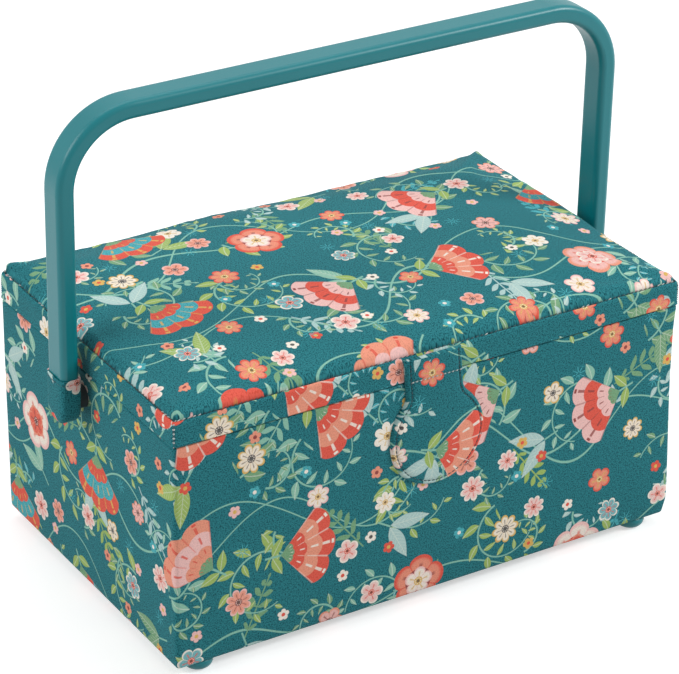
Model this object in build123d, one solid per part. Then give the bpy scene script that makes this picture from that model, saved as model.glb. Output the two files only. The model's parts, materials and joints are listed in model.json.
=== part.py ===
from build123d import *

import math
import os

# Box body, measured over its fabric
body_length = 304.0
body_depth = 189.0
body_height = 126.8
corner_radius = 4.0
base_edge_radius = 2.5
rim_edge_radius = 1.0

# Boards and cloth
board_t = 3.0
cover_t = 1.2
lining_t = 0.8
base_cloth_t = 0.8
base_hem_width = 14.0

# Feet and their screws
foot_height = 6.5
foot_diameter = 16.0
foot_dome_radius = 4.2
foot_shoulder_radius = 1.8
foot_inset_x = 16.5
foot_inset_y = 9.0
foot_screw_diameter = 3.0
foot_screw_head_diameter = 6.4
foot_screw_depth_in_foot = 3.2
screw_hole_clearance = 0.05

# Lid
lid_height = 14.4
lid_seam_inset = 2.0
lid_crown_height = 9.6
lid_roll_height = 6.0
lid_roll_inset = 4.5
lid_flat_inset = 58.0
lid_board_below_seam = 1.0

# Pincushion inside the lid
pincushion_length = 96.0
pincushion_width = 62.0
pincushion_height = 8.0
pincushion_radius = 8.0
pincushion_x = 70.0

# Cloth hinge across the back
hinge_length = 280.0
hinge_tape_t = 0.7
hinge_tape_drop = 24.0
hinge_gap = 0.1

# Closure tab
tab_strap_width = 35.0
tab_disc_diameter = 57.0
tab_disc_height = 93.3
tab_flare_radius = 9.0
tab_top_below_seam = 1.5
tab_gap = 0.3
tab_cloth_t = 0.7
tab_interlining_t = 1.2
tab_seam_width = 2.5
magnet_diameter = 22.0
magnet_t = 1.2
magnet_clearance = 0.1

# Handle
handle_rise = 159.3
handle_side_gap = 6.0
handle_splay = 0.5
handle_depth = 17.0
handle_t = 10.0
handle_edge_radius = 3.2
handle_bend_radius = 38.2
handle_lean = 0.8
pivot_height = 112.8
pivot_y = 0.0

# Fabric sleeve on each leg end
sleeve_t = 1.0
sleeve_hem_above_pivot = 15.5

# Pivot screw, spacer and tee nut
pivot_screw_diameter = 4.0
pivot_head_diameter = 8.4
pivot_head_t = 2.2
pivot_head_clearance = 0.3
running_clearance = 0.06
seat_clearance = 0.05
spacer_diameter = 12.0
spacer_end_gap = 0.3
nut_flange_diameter = 14.0
nut_flange_t = 1.2
nut_barrel_diameter = 6.0

# Tray and its ledges
tray_height = 34.0
tray_below_rim = 4.0
tray_wall = 1.8
tray_corner_radius = 7.0
tray_end_gap = 2.8
tray_side_gap = 2.0
tray_column_width = 92.0
tray_notch_radius = 12.0
ledge_depth = 8.0
ledge_height = 10.0
ledge_length = 280.0

# Heights that follow
underside_z = foot_height
rim_z = underside_z + body_height
seam_z = rim_z + lid_height
pivot_z = underside_z + pivot_height
handle_top = pivot_z + handle_rise
board_low_z = underside_z + cover_t
board_high_z = rim_z - cover_t
floor_board_top_z = board_low_z + board_t
floor_z = floor_board_top_z + lining_t
lid_low_z = rim_z + cover_t
lid_board_top_z = seam_z - lid_board_below_seam
lid_board_low_z = lid_board_top_z - board_t
lid_ceiling_z = lid_board_low_z - lining_t
disc_z = underside_z + tab_disc_height

# Plan sizes that follow
handle_width_pivot = body_length + 2 * (handle_side_gap + handle_t)
handle_width_top = handle_width_pivot - 2 * handle_splay
spacer_t = handle_side_gap - sleeve_t - spacer_end_gap
board_length = body_length - 2 * cover_t
board_depth = body_depth - 2 * cover_t
board_corner_radius = corner_radius - cover_t
room_length = board_length - 2 * board_t
room_depth = board_depth - 2 * board_t
lined_length = room_length - 2 * lining_t
lined_depth = room_depth - 2 * lining_t
seam_length = body_length - 2 * lid_seam_inset
seam_depth = body_depth - 2 * lid_seam_inset
front_y = -body_depth / 2
back_y = body_depth / 2
reach = 2 * (body_length + body_depth + handle_top)


def slab(length, depth, low, high, radius=0.0):
    """A centred block between two heights, with rounded upright corners."""
    outline = RectangleRounded(length, depth, radius) if radius > 0 else Rectangle(length, depth)
    return extrude(Plane.XY.offset(low) * outline, high - low)


def block(x_low, x_high, y_low, y_high, z_low, z_high):
    """A square block from its six faces."""
    centre = Pos((x_low + x_high) / 2, (y_low + y_high) / 2, (z_low + z_high) / 2)
    return centre * Box(x_high - x_low, y_high - y_low, z_high - z_low)


def stacked(length, depth, radius, levels):
    """A cushion's form from rounded outlines, each drawn in by an inset at its own height."""
    outlines = []
    for inset, height in levels:
        outline = RectangleRounded(length - 2 * inset, depth - 2 * inset, radius + inset / 8)
        outlines.append(Plane.XY.offset(height) * outline)
    return loft(outlines, ruled=True)


def post(x, y, low, high, diameter):
    """An upright round post or hole."""
    return Pos(x, y, (low + high) / 2) * Cylinder(diameter / 2, high - low)


def pivot_rod(side, inner_x, outer_x, diameter):
    """A round rod or hole along a handle pivot, between two distances from the middle of the box."""
    middle = side * (inner_x + outer_x) / 2
    return Pos(middle, pivot_y, pivot_z) * Rot(0, 90, 0) * Cylinder(diameter / 2, outer_x - inner_x)


def front_rod(back, front, diameter):
    """A round rod or hole through the front, at the middle of the tab's disc."""
    return Pos(0, (back + front) / 2, disc_z) * Rot(90, 0, 0) * Cylinder(diameter / 2, abs(front - back))


def rounded_level(solid, level, radius):
    """The solid with the edges that lie at one height rounded."""
    edges = [e for e in solid.edges() if abs(e.center().Z - level) < radius / 10 and e.length > radius]
    return fillet(edges, radius)


def wall_boards(low, high):
    """Four boards round a room: front, back, left and right."""
    ring = slab(board_length, board_depth, low, high, board_corner_radius)
    ring -= slab(room_length, room_depth, low, high)
    front = ring & block(-reach, reach, -reach, -room_depth / 2, low, high)
    back = ring & block(-reach, reach, room_depth / 2, reach, low, high)
    left = ring & block(-reach, -room_length / 2, -room_depth / 2, room_depth / 2, low, high)
    right = ring & block(room_length / 2, reach, -room_depth / 2, room_depth / 2, low, high)
    return front, back, left, right


def foot_places():
    """Where the four feet stand."""
    x = body_length / 2 - foot_inset_x
    y = body_depth / 2 - foot_inset_y
    return [(-x, -y), (x, -y), (-x, y), (x, y)]


def body_boards():
    """The base and the four walls, bored for the feet, the magnet and the handle's tee nuts."""
    front, back, left, right = wall_boards(board_low_z, board_high_z)
    base = slab(room_length, room_depth, board_low_z, floor_board_top_z)
    for x, y in foot_places():
        base -= foot_screw(x, y, screw_hole_clearance)
    front -= front_rod(-board_depth / 2 + magnet_t + magnet_clearance, -reach, magnet_diameter + 2 * magnet_clearance)
    bore = nut_barrel_diameter + 2 * seat_clearance
    left -= pivot_rod(-1, room_length / 2 - 1, board_length / 2 + 1, bore)
    right -= pivot_rod(1, room_length / 2 - 1, board_length / 2 + 1, bore)
    return {
        "base_board": base,
        "front_board": front,
        "back_board": back,
        "left_end_board": left,
        "right_end_board": right,
    }


def body_cover():
    """Printed cloth over the walls, turned over the rim and in under the base."""
    skin = slab(body_length, body_depth, underside_z, rim_z, corner_radius)
    skin = rounded_level(skin, underside_z, base_edge_radius)
    skin = rounded_level(skin, rim_z, rim_edge_radius)
    skin -= slab(board_length, board_depth, board_low_z, board_high_z, board_corner_radius)
    skin -= slab(room_length, room_depth, board_high_z, rim_z)
    hem_length = body_length - 2 * base_hem_width
    hem_depth = body_depth - 2 * base_hem_width
    skin -= slab(hem_length, hem_depth, underside_z, board_low_z)
    for side in (-1, 1):
        skin -= pivot_rod(side, board_length / 2 - 1, reach, pivot_screw_diameter + 2 * seat_clearance)
    for x, y in foot_places():
        skin -= post(x, y, 0, board_low_z, foot_screw_diameter + 2 * screw_hole_clearance)
    return skin


def base_cloth():
    """Plain cloth glued inside the hem under the base."""
    hem_length = body_length - 2 * base_hem_width
    hem_depth = body_depth - 2 * base_hem_width
    return slab(hem_length, hem_depth, board_low_z - base_cloth_t, board_low_z)


def body_lining():
    """Plain cloth over the floor and the inside of the walls."""
    lining = slab(room_length, room_depth, floor_board_top_z, rim_z - rim_edge_radius)
    lining -= slab(lined_length, lined_depth, floor_z, rim_z)
    bore = nut_barrel_diameter + 2 * seat_clearance
    for side in (-1, 1):
        lining -= pivot_rod(side, lined_length / 2 - 1, room_length / 2 + 1, bore)
    return lining


def foot_screw(x, y, clearance):
    """A countersunk screw from the floor board down into a foot, or the hole for it."""
    low = foot_height - foot_screw_depth_in_foot - clearance
    radius = foot_screw_diameter / 2 + clearance
    head_radius = foot_screw_head_diameter / 2 + clearance
    sink = head_radius - radius
    screw = post(x, y, low, floor_board_top_z, 2 * radius)
    screw += Pos(x, y, floor_board_top_z - sink / 2) * Cone(radius, head_radius, sink)
    return screw


def feet():
    """Four round button feet, domed at the edge."""
    made = []
    for x, y in foot_places():
        foot = post(0, 0, 0, foot_height, foot_diameter)
        foot = rounded_level(foot, 0, foot_dome_radius)
        foot = rounded_level(foot, foot_height, foot_shoulder_radius)
        foot -= foot_screw(0, 0, screw_hole_clearance)
        made.append(Pos(x, y, 0) * foot)
    return made


def foot_screws():
    """The screws in the feet."""
    return [foot_screw(x, y, 0.0) for x, y in foot_places()]


def body_magnet():
    """The steel disc under the front's cloth that holds the closure tab."""
    face = -board_depth / 2
    return front_rod(face + magnet_t, face, magnet_diameter)


def tray_ledges():
    """Two strips on the long walls that carry the tray."""
    top = rim_z - tray_below_rim - tray_height
    made = []
    for side in (-1, 1):
        wall = side * lined_depth / 2
        inner = wall - side * ledge_depth
        y_low, y_high = min(wall, inner), max(wall, inner)
        made.append(block(-ledge_length / 2, ledge_length / 2, y_low, y_high, top - ledge_height, top))
    return made


def tray():
    """The organiser tray: three columns of two, one and three compartments."""
    low = rim_z - tray_below_rim - tray_height
    high = low + tray_height
    length = lined_length - 2 * tray_end_gap
    depth = lined_depth - 2 * tray_side_gap
    inner_length = length - 2 * tray_wall
    inner_depth = depth - 2 * tray_wall
    shell = slab(length, depth, low, high, tray_corner_radius)
    shell -= slab(inner_length, inner_depth, low + tray_wall, high, tray_corner_radius - tray_wall)
    column = (inner_length - tray_column_width) / 2
    half = tray_wall / 2
    divider_x = tray_column_width / 2 + half
    y_end = inner_depth / 2 + half
    web_low = low + half
    for side in (-1, 1):
        x = side * divider_x
        shell += block(x - half, x + half, -y_end, y_end, web_low, high)
    left_end = -inner_length / 2 - half
    shell += block(left_end, left_end + column, -half, half, web_low, high)
    for side in (-1, 1):
        y = side * inner_depth / 6
        shell += block(-left_end - column, -left_end, y - half, y + half, web_low, high)
    notch = Pos(0, 0, high) * Rot(0, 90, 0) * Cylinder(tray_notch_radius, 2 * divider_x + 2 * tray_wall)
    return shell - notch


def lid_boards():
    """The lid's top board and the four boards of its sides."""
    front, back, left, right = wall_boards(lid_low_z, lid_board_low_z)
    return {
        "lid_board": slab(board_length, board_depth, lid_board_low_z, lid_board_top_z, board_corner_radius),
        "lid_front_rail": front,
        "lid_back_rail": back,
        "lid_left_rail": left,
        "lid_right_rail": right,
    }


def crown(length, depth, height, radius):
    """The padded top: a quick roll at the edge, then a long gentle rise to a flat middle."""
    levels = []
    for angle in (0, 22, 44, 66):
        turn = math.radians(angle)
        levels.append((lid_roll_inset * (1 - math.cos(turn)), lid_roll_height * math.sin(turn)))
    for share in (0.1, 0.3, 0.6, 1.0):
        inset = lid_roll_inset + share * (lid_flat_inset - lid_roll_inset)
        levels.append((inset, lid_roll_height + (height - lid_roll_height) * share * (2 - share)))
    return stacked(length, depth, radius, [(inset, seam_z + rise) for inset, rise in levels])


def lid_padding():
    """The wadding on the lid board and the printed cloth over it."""
    outer = crown(seam_length, seam_depth, lid_crown_height, corner_radius)
    under_length = seam_length - 2 * cover_t
    under_depth = seam_depth - 2 * cover_t
    inner = crown(under_length, under_depth, lid_crown_height - cover_t, corner_radius - cover_t)
    base = slab(under_length, under_depth, lid_board_top_z, seam_z, corner_radius - cover_t)
    return {"lid_wadding": base + inner, "lid_top_cover": outer - inner}


def lid_band_cover():
    """Printed cloth round the lid's sides, rounded in to the top seam and turned under the lid's edge."""
    band = slab(body_length, body_depth, rim_z, seam_z, corner_radius)
    band = rounded_level(band, seam_z, lid_seam_inset)
    band = rounded_level(band, rim_z, rim_edge_radius)
    band -= slab(board_length, board_depth, lid_low_z, lid_board_top_z, board_corner_radius)
    band -= slab(room_length, room_depth, rim_z, lid_low_z)
    top_length = seam_length - 2 * cover_t
    top_depth = seam_depth - 2 * cover_t
    band -= slab(top_length, top_depth, lid_board_top_z, seam_z, corner_radius - cover_t)
    return band


def lid_lining():
    """Plain cloth over the inside of the lid."""
    lining = slab(room_length, room_depth, rim_z + rim_edge_radius, lid_board_low_z)
    return lining - slab(lined_length, lined_depth, rim_z, lid_ceiling_z)


def pincushion():
    """A flat pad on the inside of the lid, drawn in where it meets the lining and crowned below."""
    shares = [(3.0, 0.0), (0.9, 0.15), (0.0, 0.4), (0.8, 0.65), (4.5, 0.86), (11.0, 0.96), (19.0, 1.0)]
    levels = [(inset, lid_ceiling_z - drop * pincushion_height) for inset, drop in shares]
    return Pos(pincushion_x, 0, 0) * stacked(pincushion_length, pincushion_width, pincushion_radius, levels)


def hinge_tapes():
    """The two halves of the cloth hinge glued across the back."""
    outer_y = back_y + hinge_tape_t
    half = hinge_length / 2
    lid_top = seam_z - lid_seam_inset
    return {
        "hinge_tape_body": block(-half, half, back_y, outer_y, rim_z - hinge_tape_drop, rim_z - hinge_gap),
        "hinge_tape_lid": block(-half, half, back_y, outer_y, rim_z + hinge_gap, lid_top),
    }


def tab_outline(inset):
    """The strap that widens into the disc, drawn in from its edge all round."""
    radius = tab_disc_diameter / 2 - inset
    width = tab_strap_width - 2 * inset
    top = seam_z - tab_top_below_seam - disc_z
    strap = Pos(0, top / 2) * Rectangle(width, top)
    outline = strap + Circle(radius)
    neck = [v for v in outline.vertices() if abs(v.Y - top) > width / 2 and abs(abs(v.X) - width / 2) < 0.01]
    return fillet(neck, tab_flare_radius + inset)


def tab_layer(inset, back, thickness):
    """One layer of the tab, standing off the lid's front by a distance."""
    face = Plane(origin=(0, front_y - tab_gap - back, disc_z), x_dir=(1, 0, 0), z_dir=(0, -1, 0))
    return extrude(face * tab_outline(inset), thickness)


def closure_tab():
    """The closure tab: two cloth layers, the stiffener and the magnet between them."""
    middle = tab_cloth_t
    back = tab_layer(0.0, 0.0, tab_cloth_t)
    filling = tab_layer(tab_seam_width, middle, tab_interlining_t)
    front = tab_layer(0.0, middle, tab_interlining_t + tab_cloth_t) - filling
    inner_y = front_y - tab_gap - middle
    hole = front_rod(inner_y, inner_y - tab_interlining_t, magnet_diameter + 2 * magnet_clearance)
    magnet = front_rod(inner_y, inner_y - magnet_t, magnet_diameter)
    return {
        "tab_back": back,
        "tab_interlining": filling - hole,
        "tab_front": front,
        "tab_magnet": magnet,
    }


def handle_path(drop, top):
    """The middle line of the hoop, from below one pivot over the top to the other."""
    half_pivot = (handle_width_pivot - handle_t) / 2
    half_top = (handle_width_top - handle_t) / 2
    crossbar_z = handle_top - handle_t / 2
    slope = (half_pivot - half_top) / (crossbar_z - pivot_z)
    low_z = pivot_z - drop
    half_low = half_pivot + slope * drop
    if top is None:
        corners = [(-half_low, low_z), (-half_top, crossbar_z), (half_top, crossbar_z), (half_low, low_z)]
        return Plane.XZ.offset(-pivot_y) * FilletPolyline(*corners, radius=handle_bend_radius)
    half_high = half_pivot - slope * top
    return Plane.XZ.offset(-pivot_y) * Line((-half_low, low_z), (-half_high, pivot_z + top))


def along(path, extra):
    """The hoop's rounded section, made larger all round, swept along a path."""
    start = Plane(origin=path @ 0, x_dir=(0, 1, 0), z_dir=path % 0)
    section = RectangleRounded(handle_depth + 2 * extra, handle_t + 2 * extra, handle_edge_radius + extra)
    return sweep(start * section, path)


def round_end(solid, side, radius):
    """The solid with a leg's end rounded about its pivot."""
    half = handle_width_pivot / 2
    x_low, x_high = sorted((side * (half - 2 * handle_t), side * (half + handle_t)))
    corner = block(x_low, x_high, pivot_y - reach / 2, pivot_y + reach / 2, pivot_z - 2 * radius, pivot_z)
    return solid - (corner - pivot_rod(side, half - 3 * handle_t, half + 2 * handle_t, 2 * radius))


def leaned(shape):
    """The shape tipped forward about the pivots, as the raised handle stands."""
    return shape.rotate(Axis((0, pivot_y, pivot_z), (1, 0, 0)), handle_lean)


def handle():
    """The moulded hoop and the cloth sleeve sewn round each of its leg ends."""
    end_radius = handle_depth / 2
    half = handle_width_pivot / 2
    hoop = along(handle_path(end_radius, None), 0.0)
    for side in (-1, 1):
        hoop = round_end(hoop, side, end_radius)
    sleeves = {}
    for side, name in ((-1, "handle_sleeve_left"), (1, "handle_sleeve_right")):
        sleeve = along(handle_path(end_radius + sleeve_t, sleeve_hem_above_pivot), sleeve_t)
        if side > 0:
            sleeve = mirror(sleeve, about=Plane.YZ)
        sleeve = round_end(sleeve, side, end_radius + sleeve_t)
        sleeve -= hoop
        sleeve -= pivot_rod(side, half - 2 * handle_t, half - handle_t / 2, spacer_diameter + 1)
        sleeves[name] = leaned(sleeve)
    for side in (-1, 1):
        hoop -= pivot_rod(side, half - 2 * handle_t, half + handle_t, pivot_screw_diameter + 2 * running_clearance)
        seat = half - pivot_head_t - pivot_head_clearance
        hoop -= pivot_rod(side, seat, half + handle_t, pivot_head_diameter + 2 * pivot_head_clearance)
    return {"handle_hoop": leaned(hoop), **sleeves}


def pivot_hardware():
    """On each side the screw that the handle turns on, its spacer, and the tee nut inside the wall."""
    half = handle_width_pivot / 2
    wall = body_length / 2
    tip = lined_length / 2 - nut_flange_t
    head = half - pivot_head_t - pivot_head_clearance + seat_clearance
    bore = pivot_screw_diameter + 2 * seat_clearance
    screws, spacers, nuts = [], [], []
    for side in (-1, 1):
        screw = pivot_rod(side, tip, head, pivot_screw_diameter)
        screws.append(screw + pivot_rod(side, head, head + pivot_head_t, pivot_head_diameter))
        washer = pivot_rod(side, wall, wall + spacer_t, spacer_diameter)
        spacers.append(washer - pivot_rod(side, wall - 1, wall + 2 * spacer_t, bore))
        nut = pivot_rod(side, tip, lined_length / 2, nut_flange_diameter)
        nut += pivot_rod(side, lined_length / 2, board_length / 2, nut_barrel_diameter)
        nuts.append(nut - pivot_rod(side, tip - 1, board_length / 2 + 1, bore))
    return {"pivot_screws": screws, "pivot_spacers": spacers, "pivot_nuts": nuts}


def write(name, shape):
    """One file for one named piece, or for a group of like pieces."""
    solid = Compound(children=shape) if isinstance(shape, list) else shape
    solid.label = name
    export_step(solid, f"parts/{name}.step")


def main():
    """Makes every piece and writes its file."""
    os.makedirs("parts", exist_ok=True)
    pieces = {
        **body_boards(),
        "body_cover": body_cover(),
        "base_cloth": base_cloth(),
        "body_lining": body_lining(),
        "feet": feet(),
        "foot_screws": foot_screws(),
        "body_magnet": body_magnet(),
        "tray_ledges": tray_ledges(),
        "tray": tray(),
        **pivot_hardware(),
        **lid_boards(),
        **lid_padding(),
        "lid_band_cover": lid_band_cover(),
        "lid_lining": lid_lining(),
        "pincushion": pincushion(),
        **hinge_tapes(),
        **closure_tab(),
        **handle(),
    }
    for name, shape in pieces.items():
        write(name, shape)


main()
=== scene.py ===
import json
import math
import bmesh
import bpy
import numpy as np
from mathutils import Matrix, Vector, noise


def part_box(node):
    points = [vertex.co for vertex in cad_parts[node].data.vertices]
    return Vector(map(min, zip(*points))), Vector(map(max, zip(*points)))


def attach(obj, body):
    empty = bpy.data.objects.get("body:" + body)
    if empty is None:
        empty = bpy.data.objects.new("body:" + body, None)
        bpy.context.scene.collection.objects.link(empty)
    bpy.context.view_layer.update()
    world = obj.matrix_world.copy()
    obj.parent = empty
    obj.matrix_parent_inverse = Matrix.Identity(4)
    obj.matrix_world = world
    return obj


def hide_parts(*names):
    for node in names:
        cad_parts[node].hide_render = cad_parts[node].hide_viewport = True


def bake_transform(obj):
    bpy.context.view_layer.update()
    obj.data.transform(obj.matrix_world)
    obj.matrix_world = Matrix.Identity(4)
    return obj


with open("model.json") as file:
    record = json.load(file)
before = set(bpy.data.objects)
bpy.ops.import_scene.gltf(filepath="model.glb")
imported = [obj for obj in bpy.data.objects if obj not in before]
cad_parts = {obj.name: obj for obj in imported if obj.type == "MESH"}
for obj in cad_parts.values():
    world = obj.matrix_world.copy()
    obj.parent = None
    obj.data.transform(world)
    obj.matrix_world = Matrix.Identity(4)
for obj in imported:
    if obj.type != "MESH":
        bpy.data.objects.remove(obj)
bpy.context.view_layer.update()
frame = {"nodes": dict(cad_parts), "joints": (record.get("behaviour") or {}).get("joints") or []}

MM = 0.001
TAU = 2 * math.pi


def limits(node):
    """The lowest and highest corners of a CAD node, in millimetres."""
    low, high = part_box(node)
    return [v / MM for v in low], [v / MM for v in high]


# Sizes of the solids, in millimetres
cover_low, cover_high = limits("body_cover")
LENGTH = cover_high[0] - cover_low[0]
DEPTH = cover_high[1] - cover_low[1]
UNDER = cover_low[2]
RIM = cover_high[2]
SEAM = limits("lid_band_cover")[1][2]
FRONT = cover_low[1]
BACK = cover_high[1]
TURN = 2.4
WALL = 4.2
LINING = 0.8
SEAM_INSET = 1.3
STRAP_SHIFT = -4.2
CROWN = limits("lid_top_cover")[1][2] - SEAM
ROLL = 6.2
LID_BOARD_TOP = SEAM - 1.0
FLOOR = UNDER + 5.0
CEILING = limits("lid_lining")[1][2] - LINING

# Camera

FOCAL_PX = 2973.559
IMAGE_W, IMAGE_H = 679, 674
CENTRE_PX = (339.892, 336.682)
AZIMUTH, ELEVATION, TILT = -31.973, 27.359, 0.666
DISTANCE = 1592.029
SLIDE = (-0.682, -21.697)
AIM = Vector((0.0, 0.0, 88.3))


def make_camera():
    """The photo's view: an aim point and a direction, with a small tilt and slide."""
    a, e, r = (math.radians(v) for v in (AZIMUTH, ELEVATION, TILT))
    back = Vector((math.sin(a) * math.cos(e), -math.cos(a) * math.cos(e), math.sin(e)))
    level = (-back).cross(Vector((0, 0, 1))).normalized()
    upright = level.cross(-back)
    right = math.cos(r) * level + math.sin(r) * upright
    up = -math.sin(r) * level + math.cos(r) * upright
    place = AIM + back * DISTANCE - right * SLIDE[0] - up * SLIDE[1]
    data = bpy.data.cameras.new("camera")
    data.sensor_width = 36.0
    data.lens = FOCAL_PX / IMAGE_W * data.sensor_width
    data.shift_x = (IMAGE_W / 2 - CENTRE_PX[0]) / IMAGE_W
    data.shift_y = (CENTRE_PX[1] - IMAGE_H / 2) / IMAGE_W
    data.clip_start, data.clip_end = 0.05, 20.0
    camera = bpy.data.objects.new("camera", data)
    axes = Matrix((right, up, back)).transposed().to_4x4()
    camera.matrix_world = Matrix.Translation(place * MM) @ axes
    bpy.context.scene.collection.objects.link(camera)
    bpy.context.scene.camera = camera


make_camera()

# Shader networks


def linear(rgb):
    """A colour written as 0 to 255, as the shader takes it."""
    out = []
    for v in rgb:
        v = v / 255
        out.append(v / 12.92 if v <= 0.04045 else ((v + 0.055) / 1.055) ** 2.4)
    return (*out, 1.0)


def operator(operation, swapped=False):
    """A method that works out one more value with a math node."""

    def method(self, *others):
        values = (self, *others)
        return self.net.math(operation, *(values[::-1] if swapped else values))

    return method


class Num:
    """A value that varies over a surface, worked out by nodes."""

    def __init__(self, net, socket):
        self.net = net
        self.socket = socket

    __add__ = operator("ADD")
    __radd__ = operator("ADD", True)
    __sub__ = operator("SUBTRACT")
    __rsub__ = operator("SUBTRACT", True)
    __mul__ = operator("MULTIPLY")
    __rmul__ = operator("MULTIPLY", True)
    __truediv__ = operator("DIVIDE")
    __abs__ = operator("ABSOLUTE")
    floor = operator("FLOOR")
    sin = operator("SINE")
    cos = operator("COSINE")
    power = operator("POWER")
    most = operator("MAXIMUM")

    def under(self, edge, soft=0.3):
        """1 where the value is less than edge, with an edge this soft."""
        return self.net.math("MULTIPLY_ADD", edge - self, 1 / soft, 0.5, clamp=True)

    def over(self, edge, soft=0.3):
        """1 where the value is more than edge, with an edge this soft."""
        return self.net.math("MULTIPLY_ADD", self - edge, 1 / soft, 0.5, clamp=True)


class Net:
    """Makes nodes in one tree."""

    def __init__(self, tree):
        self.tree = tree

    def node(self, kind, **settings):
        made = self.tree.nodes.new(kind)
        for key, value in settings.items():
            setattr(made, key, value)
        return made

    def feed(self, socket, value):
        if isinstance(value, Num):
            value = value.socket
        if isinstance(value, bpy.types.NodeSocket):
            self.tree.links.new(value, socket)
        else:
            socket.default_value = value

    def math(self, operation, *values, clamp=False):
        made = self.node("ShaderNodeMath", operation=operation, use_clamp=clamp)
        for socket, value in zip(made.inputs, values):
            self.feed(socket, value)
        return Num(self, made.outputs[0])

    def vector(self, operation, first, second=None, scale=None):
        made = self.node("ShaderNodeVectorMath", operation=operation)
        self.feed(made.inputs[0], first)
        if second is not None:
            self.feed(made.inputs[1], second)
        if scale is not None:
            self.feed(made.inputs["Scale"], scale)
        if operation in ("LENGTH", "DISTANCE"):
            return Num(self, made.outputs["Value"])
        return made.outputs["Vector"]

    def turned(self, vector, angle):
        made = self.node("ShaderNodeVectorRotate", rotation_type="Z_AXIS")
        self.feed(made.inputs["Vector"], vector)
        self.feed(made.inputs["Angle"], angle)
        return made.outputs["Vector"]

    def parts(self, vector):
        made = self.node("ShaderNodeSeparateXYZ")
        self.feed(made.inputs[0], vector)
        return [Num(self, out) for out in made.outputs]

    def noise(self, vector, scale, detail=2.0, rough=0.5):
        made = self.node("ShaderNodeTexNoise", noise_dimensions="3D")
        self.feed(made.inputs["Vector"], vector)
        made.inputs["Scale"].default_value = scale
        made.inputs["Detail"].default_value = detail
        made.inputs["Roughness"].default_value = rough
        return Num(self, made.outputs[0])

    def palette(self, chance, colours):
        """One of the colours, by chance."""
        made = self.node("ShaderNodeValToRGB")
        ramp = made.color_ramp
        ramp.interpolation = "CONSTANT"
        for k, colour in enumerate(colours):
            stop = ramp.elements[0] if k == 0 else ramp.elements.new(k / len(colours))
            stop.position = k / len(colours)
            stop.color = linear(colour)
        while len(ramp.elements) > len(colours):
            ramp.elements.remove(ramp.elements[-1])
        self.feed(made.inputs[0], chance)
        return made.outputs[0]

    def paint(self, under, colour, mask, blend="MIX"):
        """The colour laid over another where the mask is 1."""
        made = self.node("ShaderNodeMix", data_type="RGBA", blend_type=blend)
        self.feed(made.inputs[0], mask)
        self.feed(made.inputs[6], under)
        self.feed(made.inputs[7], colour)
        return made.outputs[2]

    def bump(self, height, distance, strength):
        made = self.node("ShaderNodeBump")
        made.inputs["Strength"].default_value = strength
        made.inputs["Distance"].default_value = distance
        self.feed(made.inputs["Height"], height)
        return made.outputs[0]

    def seen(self):
        """1 for rays from the camera, and for those that a shiny or clear surface sends on."""
        path = self.node("ShaderNodeLightPath")
        direct = self.math("MAXIMUM", path.outputs["Is Camera Ray"], path.outputs["Is Glossy Ray"])
        return self.math("MAXIMUM", direct, path.outputs["Is Transmission Ray"])


def new_material(name):
    """An empty material, its node maker and its shader."""
    made = bpy.data.materials.new(name)
    made.use_nodes = True
    net = Net(made.node_tree)
    shader = made.node_tree.nodes["Principled BSDF"]
    return made, net, shader


# Materials

GROUND = (0, 87, 98)
STEM = (138, 190, 170)
RIB = (226, 232, 216)
CORAL = (226, 84, 64)
SALMON = (236, 150, 122)
PINK = (242, 192, 186)
CREAM = (246, 236, 222)
MUSTARD = (222, 178, 92)
LIME = (160, 184, 96)
SAGE = (122, 162, 118)
MINT = (142, 190, 168)
MIST = (176, 204, 200)
TURQUOISE = (74, 168, 178)
BROWN = (92, 58, 48)
MAROON = (150, 62, 56)


class Lattice:
    """Places scattered over the cloth, one to a cell, with three chances for each."""

    def __init__(self, net, place, spacing, jitter, turn, *shift):
        shift = (*shift, 0.0)
        turned = net.turned(place, math.radians(turn))
        scaled = net.vector("SCALE", turned, scale=1 / spacing)
        moved = net.vector("ADD", scaled, shift)
        cell = net.node("ShaderNodeTexVoronoi", voronoi_dimensions="2D", feature="F1")
        cell.inputs["Scale"].default_value = 1.0
        cell.inputs["Randomness"].default_value = jitter
        net.feed(cell.inputs["Vector"], moved)
        back = net.vector("SUBTRACT", cell.outputs["Position"], shift)
        spread = net.vector("SCALE", back, scale=spacing)
        self.net = net
        self.centre = net.turned(spread, -math.radians(turn))
        self.offset = net.vector("SUBTRACT", place, self.centre)
        self.gap = Num(net, cell.outputs["Distance"]) * spacing
        self.chances = net.parts(cell.outputs["Color"])


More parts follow.
